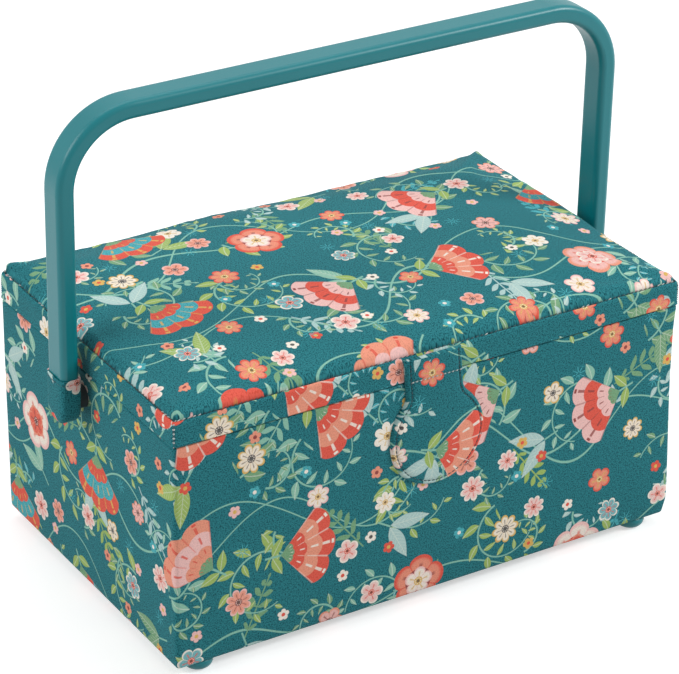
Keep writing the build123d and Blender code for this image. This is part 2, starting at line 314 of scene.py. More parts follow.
def print_group():
    """A scattered pattern of rosettes, fans, leaf sprays, seed heads and stars, drawn in millimetres."""
    tree = bpy.data.node_groups.new("print", "ShaderNodeTree")
    tree.interface.new_socket("Place", in_out="INPUT", socket_type="NodeSocketVector")
    tree.interface.new_socket("Colour", in_out="OUTPUT", socket_type="NodeSocketColor")
    net = Net(tree)
    start = net.node("NodeGroupInput")
    end = net.node("NodeGroupOutput")
    place = net.vector("MULTIPLY", start.outputs[0], (1.0, 1.0, 0.0))
    stem = linear(STEM)

    def big(at):
        """The places of the rosettes and fans."""
        return Lattice(net, at, 80.0, 0.35, 12.0, 3.37, 7.21)

    def middle(at):
        """The places of the middle flowers."""
        return Lattice(net, at, 35.0, 0.55, -24.0, 11.3, 2.63)

    def local(lattice, angle):
        """Each place's own axes, turned by an angle, and the distance from it."""
        turned = net.turned(lattice.offset, angle)
        x, y, _ = net.parts(turned)
        return x, y, net.vector("LENGTH", turned)

    def angle_of(x, y):
        return net.math("ARCTAN2", y, x)

    def leaf(under, colour, along, across, length, width, shown, veins):
        """A leaf laid from a point out along one axis, with its midrib and side veins."""
        share = net.math("DIVIDE", along, length, clamp=True)
        side = abs(across)
        swell = (share.power(0.8) * math.pi).sin() * width - 0.15
        mask = side.under(swell) * shown
        rib = side.under(0.24, 0.25)
        if veins:
            slant = (along - side * 1.1) * (1 / veins)
            line = abs(slant - slant.floor() - 0.5).under(0.09, 0.1) * side.under(width * 0.72, 0.4)
            rib = rib.most(line * 0.8)
        tinted = net.paint(colour, linear(RIB), rib * 0.5)
        return net.paint(under, tinted, mask)

    def long_stems(under):
        """Branches that wander right across the cloth."""
        x, y, _ = net.parts(place)
        drift = net.noise(net.vector("SCALE", place, scale=1 / 90), 1.0, 0.0)
        for shift, tall, wide, pitch in ((0.0, 17.0, 137.0, 74.0), (31.0, -12.0, 103.0, 92.0)):
            level = (y + shift + (x * (TAU / wide) + shift).sin() * tall + drift * 60.0) * (1 / pitch)
            gap = abs(level - level.floor() - 0.5) * pitch
            under = net.paint(under, stem, gap.under(0.55))
        return under

    def arc_spray(under, lattice, radius, reach, pitch, length, width, colours):
        """A curved stem with leaves set alternately on both sides, getting smaller to its tip."""
        x, y, r = local(lattice, lattice.chances[0] * TAU)
        angle = angle_of(x, y)
        across = r - radius
        shown = abs(angle).under(reach, 0.01)
        run = angle * radius
        cell = run * (1 / pitch) + net.math("SIGN", across) * 0.25
        along = (cell - cell.floor() - 0.5) * pitch + 0.27 * length
        side = abs(across)
        lean = math.radians(60)
        u = along * math.cos(lean) + side * math.sin(lean)
        v = side * math.cos(lean) - along * math.sin(lean)
        taper = 1.0 - (angle + reach) * (0.5 / (2 * reach))
        under = net.paint(under, stem, side.under(taper * 0.62) * shown)
        colour = net.palette(lattice.chances[1], colours)
        return leaf(under, colour, u - 0.8, v, taper * length, taper * width, shown, 0)

    def leaf_pair(under, lattice, length, width, colours):
        """Two broad leaves on a short stalk."""
        x, y, _ = local(lattice, lattice.chances[2] * TAU)
        side = abs(y)
        open_by = lattice.chances[0] * 0.3 + 0.42
        u = (x + 9.0) * open_by.cos() + side * open_by.sin()
        v = side * open_by.cos() - (x + 9.0) * open_by.sin()
        under = net.paint(under, stem, side.under(0.5) * abs(x + 12.5).under(4.5))
        colour = net.palette(lattice.chances[1], colours)
        return leaf(under, colour, u - 1.0, v, length, width, 1.0, 2.6)

    def fern(under, lattice, reach, pitch, width, colours):
        """A straight stalk with pairs of slanting leaves."""
        x, y, _ = local(lattice, lattice.chances[2] * TAU)
        side = abs(y)
        cell = (x - side * 0.7) * (1 / pitch)
        step = abs(cell - cell.floor() - 0.5) * pitch
        share = net.math("MULTIPLY_ADD", x, 0.5 / reach, 0.5, clamp=True)
        spread = (share * math.pi * 0.9 + 0.28).sin() * width
        bulge = (net.math("DIVIDE", side, spread.most(0.3), clamp=True) * math.pi).sin()
        leaves = step.under(bulge * pitch * 0.34 - 0.14) * abs(x).under(reach)
        stalk = side.under(0.42) * abs(x + 2.5).under(reach + 3.0)
        return net.paint(under, net.palette(lattice.chances[1], colours), leaves.most(stalk))

    def petals(x, y, size, count, depth, turn):
        """A flower's edge in each direction, and its petal wave."""
        wave = abs((angle_of(x, y) * count * 0.5 + turn).cos())
        return size * (wave.power(0.5) * depth + (1 - depth)), wave

    def rosette(under, lattice, size, shown, rings, centre, depth=0.4):
        """A round flower: petals with a pale edge and dark strokes, and a stamen ring."""
        x, y, r = local(lattice, lattice.chances[0] * TAU)
        share = r / size
        count = (lattice.chances[1] * 3.99).floor() + 5.0
        edge, wave = petals(x, y, size, count, depth, 0.0)
        outer = net.palette(lattice.chances[2], rings[0])
        inner = net.palette(lattice.chances[2], rings[1])
        heart = net.palette(lattice.chances[2], rings[2])
        blush = (r / edge).under(0.86, 0.12) * 0.85
        petal = net.paint(outer, inner, blush)
        stroke = wave.over(0.965, 0.03) * share.over(0.3, 0.05) * share.under(0.66, 0.1)
        petal = net.paint(petal, heart, stroke * 0.7)
        split = wave.under(0.1, 0.1) * share.under(0.72, 0.1)
        petal = net.paint(petal, outer, split * 0.8)
        under = net.paint(under, petal, r.under(edge) * shown)
        under = net.paint(under, heart, r.under(size * centre) * shown)
        dots = abs((angle_of(x, y) * 4.0).cos()).over(0.72, 0.2)
        dots = dots * abs(share - centre * 0.66).under(0.04, 0.04)
        under = net.paint(under, linear(CREAM), dots * shown * 0.8)
        return net.paint(under, linear(BROWN), r.under(size * centre * 0.38) * shown * 0.85)

    colour = long_stems(linear(GROUND))

    ferns = Lattice(net, place, 77.0, 0.4, 52.0, 2.2, 9.6)
    colour = fern(colour, ferns, 16.0, 6.4, 8.2, (MIST, SAGE, MINT, LIME, TURQUOISE, SAGE))
    wide = Lattice(net, place, 68.0, 0.35, 33.0, 1.9, 4.4)
    colour = arc_spray(colour, wide, 17.5, 2.1, 11.5, 12.5, 2.7, (MINT, SAGE, MIST, SAGE, LIME, MINT))
    small = Lattice(net, place, 60.0, 0.4, -7.0, 8.8, 0.35)
    colour = arc_spray(colour, small, 10.5, 1.9, 7.2, 7.6, 1.7, (SAGE, TURQUOISE, MIST, LIME, SAGE))
    pairs = Lattice(net, place, 86.0, 0.5, 71.0, 6.4, 1.35)
    colour = leaf_pair(colour, pairs, 24.0, 4.4, (MIST, LIME, MIST, MINT, MIST, SAGE))

    # Small seed heads, clear of the larger flowers
    seeds = Lattice(net, place, 27.0, 0.7, 19.0, 5.1, 6.2)
    x, y, r = local(seeds, seeds.chances[1] * TAU)
    clear = big(seeds.centre).gap.over(23.5, 0.001) * middle(seeds.centre).gap.over(11.5, 0.001)
    edge, wave = petals(x, y, 3.5, 5.0, 0.42, 0.0)
    tint = net.palette(seeds.chances[0], (CORAL, CREAM, SALMON, PINK, MUSTARD, CREAM, TURQUOISE))
    colour = net.paint(colour, tint, r.under(edge) * clear)
    eye = net.palette(seeds.chances[0], (MUSTARD, CORAL, MAROON, MUSTARD, CORAL, BROWN, CREAM))
    colour = net.paint(colour, eye, r.under(1.1) * clear)

    # Stars of eight fine rays
    stars = Lattice(net, place, 47.0, 0.6, 8.0, 0.4, 3.1)
    x, y, r = local(stars, stars.chances[0] * TAU)
    away = big(stars.centre).gap.over(24.0, 0.001) * middle(stars.centre).gap.over(11.0, 0.001)
    ray = abs((angle_of(x, y) * 4.0).sin()) * r
    colour = net.paint(colour, linear(TURQUOISE), ray.under(0.8, 0.6) * r.under(4.4) * r.over(0.8) * away)

    # Middle flowers, clear of the large ones
    mid = middle(place)
    mid_clear = big(mid.centre).gap.over(26.0, 0.001)
    rings = (
        (CREAM, PINK, CREAM, SALMON, CREAM, MUSTARD, PINK, CORAL),
        (PINK, CREAM, CREAM, PINK, TURQUOISE, CREAM, SALMON, SALMON),
        (CORAL, MUSTARD, MUSTARD, MAROON, CORAL, BROWN, MAROON, MUSTARD),
    )
    colour = rosette(colour, mid, mid.chances[0] * 2.4 + 6.2, mid_clear, rings, 0.27, 0.42)

    # Large rosettes, and fans on a stalk with two leaves
    large = big(place)
    is_fan = large.chances[1].over(0.5, 0.001)
    x, y, r = local(large, large.chances[0] * TAU)
    rise = y + 13.0
    far = net.math("SQRT", x * x + rise * rise)
    angle = net.math("ARCTAN2", x, rise)
    scallop = abs((angle * 5.5).cos())
    wedge = abs(angle).under(0.86, 0.03) * is_fan
    stalk = abs(x).under(0.6) * abs(y + 16.0).under(6.0) * is_fan
    colour = net.paint(colour, stem, stalk)
    side = abs(x)
    u = side * math.cos(0.5) + (y + 18.0) * math.sin(0.5)
    v = (y + 18.0) * math.cos(0.5) - side * math.sin(0.5)
    colour = leaf(colour, linear(LIME), u - 0.5, v, 12.5, 2.9, is_fan, 0)
    base = net.palette(large.chances[0], (CORAL, SALMON, TURQUOISE, CORAL, PINK))
    tip = net.palette(large.chances[0], (SALMON, CORAL, CORAL, PINK, SALMON))
    mark = net.palette(large.chances[0], (CREAM, CREAM, MUSTARD, MAROON, CORAL))
    for reach, tint in ((32.0, tip), (24.5, base), (15.5, tip), (8.0, linear(SAGE))):
        edge = scallop.power(0.6) * (reach * 0.11) + reach * 0.89
        colour = net.paint(colour, tint, far.under(edge) * wedge)
        line = scallop.over(0.985, 0.012) * far.under(reach * 0.9, 0.8) * far.over(reach * 0.72, 0.8)
        colour = net.paint(colour, mark, line * wedge * 0.85)
        split = scallop.under(0.09, 0.1) * far.under(reach * 0.9) * far.over(reach * 0.66)
        colour = net.paint(colour, mark, split * wedge * 0.55)
    dots = scallop.over(0.975, 0.02) * abs(far - 30.6).under(0.75)
    colour = net.paint(colour, mark, dots * wedge)
    shown = 1.0 - is_fan
    size = large.chances[2] * 2.0 + 15.5
    big_rings = (
        (CORAL, SALMON, PINK, CORAL, TURQUOISE),
        (SALMON, PINK, CREAM, CORAL, MIST),
        (MAROON, CORAL, CORAL, MUSTARD, CREAM),
    )
    colour = rosette(colour, large, size, shown, big_rings, 0.5, 0.26)
    inner_rings = (
        (PINK, CREAM, SALMON, CREAM, CORAL),
        (CREAM, PINK, CORAL, MUSTARD, SALMON),
        (MUSTARD, CORAL, MAROON, CORAL, MUSTARD),
    )
    colour = rosette(colour, large, size * 0.55, shown, inner_rings, 0.3, 0.38)
    net.feed(end.inputs[0], colour)
    return tree


def weave_height(net, place_mm):
    """Crossing threads of uneven thickness, for plain woven cotton."""
    warp = net.noise(net.vector("MULTIPLY", place_mm, (2.6, 0.55, 1.0)), 1.0, 1.0)
    weft = net.noise(net.vector("MULTIPLY", place_mm, (0.55, 2.6, 1.0)), 1.0, 1.0)
    return warp + weft


def cotton_material(name, printed, tone=None):
    """Woven cotton, printed or plain, with darker and lighter flecks where its threads cross."""
    made, net, shader = new_material(name)
    cloth = net.node("ShaderNodeUVMap", uv_map="cloth")
    place = net.vector("SCALE", cloth.outputs[0], scale=1 / MM)
    if printed:
        group = net.node("ShaderNodeGroup")
        group.node_tree = print_group()
        net.feed(group.inputs[0], place)
        colour = group.outputs[0]
    else:
        colour = linear(tone)
    threads = weave_height(net, place)
    speckle = net.noise(place, 1.35, 2.0, 0.7)
    twill = net.noise(net.vector("MULTIPLY", net.turned(place, math.radians(38)), (2.1, 0.8, 1.0)), 1.0, 1.0)
    fleck = net.noise(place, 1.4, 1.0)
    shade = threads * 0.15 + speckle * 0.2 + twill * 0.25 + fleck * 0.7 - 0.15
    dark = net.paint(colour, (0.24, 0.4, 0.42, 1), 1.0, "MULTIPLY")
    light = net.paint(colour, (0.125, 0.62, 0.66, 1), 0.2, "SCREEN")
    flecked = net.paint(dark, light, net.math("MULTIPLY_ADD", shade - 0.5, 4.8, 0.43, clamp=True))
    strength = 1.0
    if printed:
        red = net.parts(colour)[0]
        strength = net.math("MULTIPLY_ADD", red, -5.0, 1.15, clamp=True) * 0.74 + 0.26
    colour = net.paint(colour, flecked, strength)
    cloud = net.noise(place, 0.035, 1.0)
    colour = net.paint(colour, (0.86, 0.88, 0.9, 1), (cloud - 0.35) * 0.5, "MULTIPLY")
    net.feed(shader.inputs["Base Color"], colour)
    net.feed(shader.inputs["Roughness"], net.math("MULTIPLY_ADD", speckle, 0.18, 0.72))
    shader.inputs["Specular IOR Level"].default_value = 0.12
    shader.inputs["Sheen Weight"].default_value = 0.06
    shader.inputs["Sheen Roughness"].default_value = 0.45
    net.feed(shader.inputs["Normal"], net.bump(threads, 0.0002, 0.4))
    return made


def plain_material(name, tones, broad, fine, rough, relief, sockets, stretch=None):
    """A finish without a print: two tones mixed by a broad noise, roughness and relief from a fine one."""
    made, net, shader = new_material(name)
    spot = net.node("ShaderNodeTexCoord").outputs["Object"]
    if stretch:
        spot = net.vector("MULTIPLY", spot, stretch)
    grain = net.noise(spot, *fine)
    drift = net.noise(spot, *broad) if broad else grain
    net.feed(shader.inputs["Base Color"], net.paint(*tones, drift))
    net.feed(shader.inputs["Roughness"], net.math("MULTIPLY_ADD", grain, *rough))
    net.feed(shader.inputs["Normal"], net.bump(grain, *relief))
    for key, value in sockets.items():
        shader.inputs[key].default_value = value
    return made


def with_shade(tone, share):
    """A darker share of a tone, and the tone."""
    base = linear(tone)
    return (*(v * share for v in base[:3]), 1.0), base


def plastic_material(name, tone, rough, coat):
    """Moulded plastic with a very fine grain and slight colour drift."""
    tones = with_shade(tone, 0.86)
    gloss = {"Specular IOR Level": 0.4, "Coat Weight": coat, "Coat Roughness": 0.3}
    return plain_material(name, tones, (14.0, 2.0), (900.0, 2.0), (0.1, rough - 0.05), (0.00006, 0.35), gloss)


def thread_material(name, tone):
    """Twisted sewing thread."""
    tones = with_shade(tone, 0.6)
    return plain_material(name, tones, None, (2400.0, 1.0), (0.2, 0.5), (0.0001, 0.5), {"Sheen Weight": 0.3})


PRINT = cotton_material("printed_cotton", True)
PLAIN = cotton_material("lining_cotton", False, (44, 112, 122))
FELT = cotton_material("cushion_cotton", False, (214, 120, 100))
HANDLE = plastic_material("handle_plastic", (0, 121, 129), 0.36, 0.06)
MILKY = (linear((214, 222, 222)), linear((236, 240, 238)))
CLEAR = {"Transmission Weight": 0.35, "IOR": 1.45}
TRAY = plain_material("tray_plastic", MILKY, (25.0, 2.0), (700.0, 2.0), (0.12, 0.3), (0.00005, 0.3), CLEAR)
SPACER = plastic_material("spacer_plastic", (40, 44, 46), 0.45, 0.0)
FIBRE = (linear((126, 112, 96)), linear((168, 152, 132)))
FLAKES = (260.0, 4.0, 0.7)
BOARD = plain_material("fibreboard", FIBRE, None, FLAKES, (0.15, 0.8), (0.0003, 0.6), {}, (1, 1, 6))
ZINC = (linear((168, 170, 172)), linear((202, 204, 206)))
BRUSHING = (320.0, 3.0)
METAL = {"Metallic": 1.0}
STEEL = plain_material("plated_steel", ZINC, None, BRUSHING, (0.2, 0.24), (0.00005, 0.4), METAL, (1, 14, 1))
THREAD_DARK = thread_material("thread_teal", (22, 62, 72))
THREAD_PALE = thread_material("thread_pale", (196, 206, 204))

BOARDS = [f"{place}_board" for place in ("base", "front", "back", "left_end", "right_end", "lid")]
RAILS = [f"lid_{side}_rail" for side in ("front", "back", "left", "right")]
RIGID = (
    (HANDLE, ["handle_hoop", "feet"]),
    (TRAY, ["tray"]),
    (SPACER, ["pivot_spacers"]),
    (STEEL, ["foot_screws", "body_magnet", "tab_magnet", "pivot_screws", "pivot_nuts"]),
    (BOARD, [*BOARDS, *RAILS, "tray_ledges"]),
)


def dress_nodes():
    """The rigid CAD nodes keep their shapes and get their finishes."""
    for material, names in RIGID:
        for name in names:
            data = frame["nodes"][name].data
            data.materials.clear()
            data.materials.append(material)
            for poly in data.polygons:
                poly.material_index = 0


dress_nodes()

# Meshes


def waves(point, size, seed):
    """Smooth noise, from about -1 to 1, at a scale in millimetres."""
    return noise.noise(Vector(point) / size + Vector((seed, seed * 1.7, seed * 0.3)))


def piece(name, verts, faces, uvs, material, slot, smooth=True):
    """One mesh piece from points in millimetres, with a cloth map in metres."""
    mesh = bpy.data.meshes.new(name)
    mesh.from_pydata([tuple(c * MM for c in v) for v in verts], [], faces)
    if uvs is not None:
        layer = mesh.uv_layers.new(name="cloth")
        flat = [c * MM for face in uvs for uv in face for c in uv]
        layer.data.foreach_set("uv", flat)
    made = bpy.data.objects.new(name, mesh)
    bpy.context.scene.collection.objects.link(made)
    mesh.materials.append(material)
    work = bmesh.new()
    work.from_mesh(mesh)
    bmesh.ops.recalc_face_normals(work, faces=work.faces)
    work.to_mesh(mesh)
    work.free()
    for poly in mesh.polygons:
        poly.use_smooth = smooth
    return made


def grid(points, uv_at, wrap_rows, wrap_cols, first=0):
    """Vertices, faces and cloth coordinates of rows of points, joined round where they wrap."""
    rows, cols = len(points), len(points[0])
    verts = [p for row in points for p in row]
    faces, uvs = [], []
    for i in range(rows if wrap_rows else rows - 1):
        for j in range(cols if wrap_cols else cols - 1):
            i2, j2 = (i + 1) % rows, (j + 1) % cols
            faces.append([first + a * cols + b for a, b in ((i, j), (i, j2), (i2, j2), (i2, j))])
            uvs.append([uv_at(a, b) for a, b in ((i, j), (i, j + 1), (i + 1, j + 1), (i + 1, j))])
    return verts, faces, uvs


def outline(length, depth, radius, inset, step=6.0, turn=6):
    """Points, outward directions and run lengths round an upright rounded rectangle."""
    r = max(radius - inset, 0.25)
    cx = length / 2 - inset - r
    cy = depth / 2 - inset - r
    counts = [max(2, round(s / step)) for s in (length, depth, length, depth)]
    starts = [(cx, cy + r), (-cx - r, cy), (-cx, -cy - r), (cx + r, -cy)]
    ends = [(-cx, cy + r), (-cx - r, -cy), (cx, -cy - r), (cx + r, cy)]
    middles = [(-cx, cy), (-cx, -cy), (cx, -cy), (cx, cy)]
    base_run = 0.0
    points, normals, runs = [], [], []
    for k in range(4):
        (ax, ay), (bx, by) = starts[k], ends[k]
        aim = math.radians(90 + 90 * k)
        full = (length if k % 2 == 0 else depth) - 2 * radius
        for n in range(counts[k]):
            t = n / counts[k]
            points.append((ax + (bx - ax) * t, ay + (by - ay) * t))
            normals.append((math.cos(aim), math.sin(aim)))
            runs.append(base_run + full * t)
        base_run += full
        mx, my = middles[k]
        for n in range(turn):
            t = aim + math.radians(90) * n / turn
            points.append((mx + r * math.cos(t), my + r * math.sin(t)))
            normals.append((math.cos(t), math.sin(t)))
            runs.append(base_run + radius * math.radians(90) * n / turn)
        base_run += radius * math.radians(90)
    return points, normals, runs + [base_run]


def run_lengths(profile):
    """Running lengths along a closed profile."""
    runs = [0.0]
    closed = profile + [profile[0]]
    for a, b in zip(closed, closed[1:]):
        runs.append(runs[-1] + math.dist(a, b))
    return runs


def ring(name, profile, shift, wobble, v_zero, step):
    """A closed ring of print round the box: a profile of (outward, height) swept round its plan."""
    rows = []
    runs = run_lengths(profile)
    for n, (out, z) in enumerate(profile):
        points, normals, _ = outline(LENGTH, DEPTH, TURN, -out, step)
        row = []
        for (x, y), (nx, ny) in zip(points, normals):
            extra, lift = wobble((x, y, z), n)
            row.append((x + nx * extra, y + ny * extra, z + lift))
        rows.append(row)
    s = outline(LENGTH, DEPTH, TURN, 0, step)[2]

    def uv_at(i, j):
        return s[j] + shift[0], v_zero - runs[i] + shift[1]

    return piece(name, *grid(rows, uv_at, True, True), PRINT, "printed_cloth")


def steps(low, high, spacing):
    """Even values from low to high, without the ends."""
    count = max(1, round(abs(high - low) / spacing))
    return [low + (high - low) * k / count for k in range(1, count)]


# Box body


def on_long_side(y):
    """Whether a place on the box's outside lies on its front or back."""
    return abs(abs(y) - DEPTH / 2) < 2



def make_body_wrap():
    """Print over the walls, turned over the rim and in under the base."""
    wall = [(0.05, z) for z in steps(RIM - 1.6, UNDER + 2.6, 6.0)]
    profile = [(-WALL + 0.05, RIM - 1.3), (-WALL + 0.1, RIM - 0.4), (-WALL + 0.6, RIM - 0.05), (-1.5, RIM)]
    profile += [(-0.55, RIM - 0.05), (-0.1, RIM - 0.4), (0.0, RIM - 1.6)]
    last_edge = len(profile) - 1
    top_run = run_lengths(profile)[last_edge]
    profile += wall
    profile += [(0.0, UNDER + 2.6), (-0.3, UNDER + 1.2), (-0.9, UNDER + 0.35), (-1.8, UNDER - 0.15)]
    profile += [(-3.0, UNDER - 0.25), (-8.0, UNDER + 0.05), (-13.3, UNDER + 0.1), (-13.9, UNDER + 0.5)]
    profile += [(-13.7, UNDER + 1.0), (-3.0, UNDER + 1.1), (-1.15, UNDER + 1.6), (-1.1, UNDER + 40.0)]
    profile += [(-1.1, RIM - 40.0), (-1.15, RIM - 1.3)]

    def wobble(p, n):
        x, y, z = p
        if not last_edge < n <= last_edge + len(wall):
            return 0.0, 0.0
        edge = min(1.0, (RIM - z) / 12, (z - UNDER) / 12)
        full = math.sin(math.pi * min(1.0, max(0.0, (RIM - z) / (RIM - UNDER))))
        across = x / (LENGTH / 2) if on_long_side(y) else y / (DEPTH / 2)
        swell = 0.9 * full * max(0.0, 1 - across ** 2)
        away = math.hypot(LENGTH / 2 - x, DEPTH / 2 + y)
        swell += 1.8 * math.exp(-away / 30) * min(1.0, max(-0.4, (66 - z) / 52))
        return edge * (swell + 0.3 * waves(p, 46, 1.3) + 0.1 * waves(p, 13, 4.1)), 0.0

    made = ring("body_wrap", profile, (0, 0), wobble, RIM - 1.6 + top_run, 6.0)
    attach(made, "box_body")
    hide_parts("body_cover")


make_body_wrap()


def make_base_cloth():
    """Plain cloth over the underside, inside the print's hem."""
    low, high = limits("base_cloth")
    xs = np.linspace(low[0] + 0.2, high[0] - 0.2, 48)
    ys = np.linspace(low[1] + 0.2, high[1] - 0.2, 28)
    top, under = [], []
    for y in ys:
        top.append([(x, y, high[2] - 0.1) for x in xs])
        under.append([(x, y, low[2] + 0.12 + 0.1 * waves((x, y, 0), 17, 2.2)) for x in xs])
    made = sheet_rows("base_lining", top, under)
    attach(made, "box_body")
    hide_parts("base_cloth")


def sheet_rows(name, back, face):
    """A thin closed sheet of lining cloth from two matching grids of points."""
    rows, cols = len(face), len(face[0])

    def uv_at(i, j):
        return face_run[1][j], face_run[0][i]

    across = [math.dist(face[0][j], face[0][j + 1]) for j in range(cols - 1)]
    down = [math.dist(face[i][0], face[i + 1][0]) for i in range(rows - 1)]
    face_run = (np.cumsum([0, *down]).tolist(), np.cumsum([0, *across]).tolist())
    verts, faces, uvs = grid(face, uv_at, False, False)
    more_verts, more_faces, more_uvs = grid(back, uv_at, False, False, first=len(verts))
    shift_by = len(verts)
    verts += more_verts
    faces += [f[::-1] for f in more_faces]
    uvs += [u[::-1] for u in more_uvs]
    rim = [(0, j) for j in range(cols)] + [(i, cols - 1) for i in range(1, rows)]
    rim += [(rows - 1, j) for j in range(cols - 2, -1, -1)] + [(i, 0) for i in range(rows - 2, 0, -1)]
    for (a, b), (c, d) in zip(rim, rim[1:] + rim[:1]):
        one, two = a * cols + b, c * cols + d
        faces.append([one, shift_by + one, shift_by + two, two])
        uvs.append([uv_at(a, b), uv_at(a, b), uv_at(c, d), uv_at(c, d)])
    return piece(name, verts, faces, uvs, PLAIN, "lining_cloth")


make_base_cloth()


SKIN = 0.5
LINING_RADIUS = 9.2
FLAT_INSETS = (8, 14, 21, 28, 36, 44, 52, 60, 68, 76, 84, 88)


def fitted_lining(name, node, body, face, level, way, ripple, uv_start):
    """Cloth over a level panel and its four walls. way is 1 for a floor and -1 for a ceiling."""
    behind = []
    for out, z in face:
        sunk = way * SKIN if (z - level) * way < 1.2 else 0.0
        behind.append((out + SKIN, z - sunk))
    runs = run_lengths(face)
    s = outline(LENGTH, DEPTH, LINING_RADIUS, 0)[2]

    def uv_at(i, j):
        return s[j] + uv_start[0], uv_start[1] - way * runs[i]

    def rows_of(profile, amount):
        rows = []
        for out, z in profile:
            points, normals, _ = outline(LENGTH, DEPTH, LINING_RADIUS, -out)
            row = []
            for (x, y), (nx, ny) in zip(points, normals):
                swell = max(0.0, amount * waves((x, y, z), *ripple))
                if (z - level) * way < 0.1:
                    row.append((x, y, z + way * swell))
                else:
                    row.append((x - nx * swell, y - ny * swell, z))
            rows.append(row)
        return rows

    front = rows_of(face, 0.25)
    hidden = rows_of(behind, 0.0)
    cols = len(front[0])
    verts, faces, uvs = grid(front, uv_at, False, True)
    start = len(verts)
    more_verts, more_faces, more_uvs = grid(hidden, uv_at, False, True, first=start)
    verts += more_verts
    faces += more_faces
    uvs += more_uvs
    for j in range(cols):
        k = (j + 1) % cols
        faces.append([j, k, start + k, start + j])
        uvs.append([uv_at(0, j), uv_at(0, j + 1), uv_at(0, j + 1), uv_at(0, j)])
    last = (len(front) - 1) * cols
    for offset in (0, start):
        faces.append([offset + last + j for j in range(cols)])
        uvs.append([(v[0] + 60, v[1]) for v in verts[last:last + cols]])
    made = piece(name, verts, faces, uvs, PLAIN, "lining_cloth")
    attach(made, body)
    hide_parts(node)
    return made


def make_body_lining():
    """Cloth over the floor and the inside of the walls, softly rounded into the corners."""
    inner = -(WALL + LINING)
    top = RIM - 1.15
    face = [(inner + 0.5, top), (inner + 0.12, top - 0.35), (inner, top - 1.0)]
    face += [(inner, z) for z in steps(top - 1.0, FLOOR + 3.2, 7.0)]
    face += [(inner - 0.05, FLOOR + 3.2), (inner - 0.5, FLOOR + 1.4)]
    face += [(inner - 1.5, FLOOR + 0.4), (inner - 3.4, FLOOR + 0.02)]
    face += [(inner - v, FLOOR) for v in FLAT_INSETS]
    uv_start = (40.0, top)
    made = fitted_lining("body_lining_cloth", "body_lining", "box_body", face, FLOOR, 1, (21, 6.6), uv_start)


make_body_lining()

# Lid


def seam_lift(x, y):
    """How far the top seam rises above its line: a slight wave, and higher at the back left corner."""
    corner = math.hypot(LENGTH / 2 + x, DEPTH / 2 - y)
    return 0.28 * waves((x, y, 0), 34, 8.0) + 2.0 * math.exp(-((corner / 80) ** 2))


def make_lid_band():
    """Print round the lid's side, rolled under at its foot and gathered into the top seam."""
    wall = [(0.16, z) for z in steps(RIM + 2.6, SEAM - 4.0, 2.6)]
    profile = [(-WALL + 0.05, RIM + 1.15), (-WALL + 0.15, RIM + 0.4), (-WALL + 0.8, RIM + 0.08)]
    profile += [(-2.2, RIM + 0.05), (-1.9, RIM + 0.45), (0.05, RIM + 0.75), (0.55, RIM + 1.15)]
    profile += [(0.52, RIM + 1.9), (0.3, RIM + 2.6)]
    low_run = run_lengths(profile)[len(profile) - 1]
    profile += wall
    profile += [(0.12, SEAM - 4.0), (0.05, SEAM - 2.4), (-0.12, SEAM - 1.3), (-0.45, SEAM - 0.5)]
    profile += [(-0.9, SEAM - 0.05), (-1.3, SEAM - 0.1), (-1.55, SEAM - 0.5), (-1.65, SEAM - 0.9)]
    profile += [(-1.15, SEAM - 1.2), (-1.1, RIM + 8.0), (-1.1, RIM + 1.2)]

    def wobble(p, n):
        x, y, z = p
        if n < 3 or n > len(profile) - 4:
            return 0.0, 0.0
        t = (z - RIM) / (SEAM - RIM)
        run = x if on_long_side(y) else y
        pucker = 0.16 * max(0.0, t - 0.55) / 0.45 * math.sin(run / 1.55 + 2.0 * waves((x, y, 0), 30, 3.0))
        low = 0.1 * (1 - t) * waves(p, 24, 5.0)
        lift = t * seam_lift(x, y)
        if abs(x) < 26 and y < 0:
            drawn_in = (0.4 if z < RIM + 3 else 0.0) + (0.6 if z > SEAM - 1.6 else 0.0)
            return min(pucker + low, 0.1) - drawn_in, lift
        return pucker + low, lift

    v_zero = RIM + 2.6 - low_run
    made = ring("lid_band", profile, (18, -21), wobble, v_zero, 3.0)
    for loop in made.data.uv_layers["cloth"].data:
        u, v = loop.uv
        loop.uv = (u, 2 * (v_zero - 21) * MM - v)
    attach(made, "lid")
    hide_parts("lid_band_cover")


make_lid_band()


def crown_height(x, y, length, depth):
    """The padded top's rise above the seam at one place: a quick roll, then a long gentle rise."""
    ends = max(0.0, length / 2 - abs(x))
    sides = max(0.0, depth / 2 - abs(y))
    radius = 4.6 - 1.6 * math.exp(-(ends + sides) / 9.0)
    rolls = [math.sin(math.acos(1 - min(1.0, inset / radius))) for inset in (ends, sides)]
    share = min(1.0, max(0.0, min(ends, sides) - 4.6) / 56.0)
    full = 1.4 * math.exp(-(((x + 36) / 30) ** 2) - (sides / 26) ** 2) if y > 0 else 0.0
    full -= 3.0 * math.exp(-max(0.0, length / 2 - x) / 24 - ((y + 58) / 46) ** 2)
    return (ROLL + full) * rolls[0] * rolls[1] + (CROWN - ROLL) * share * (2 - share)


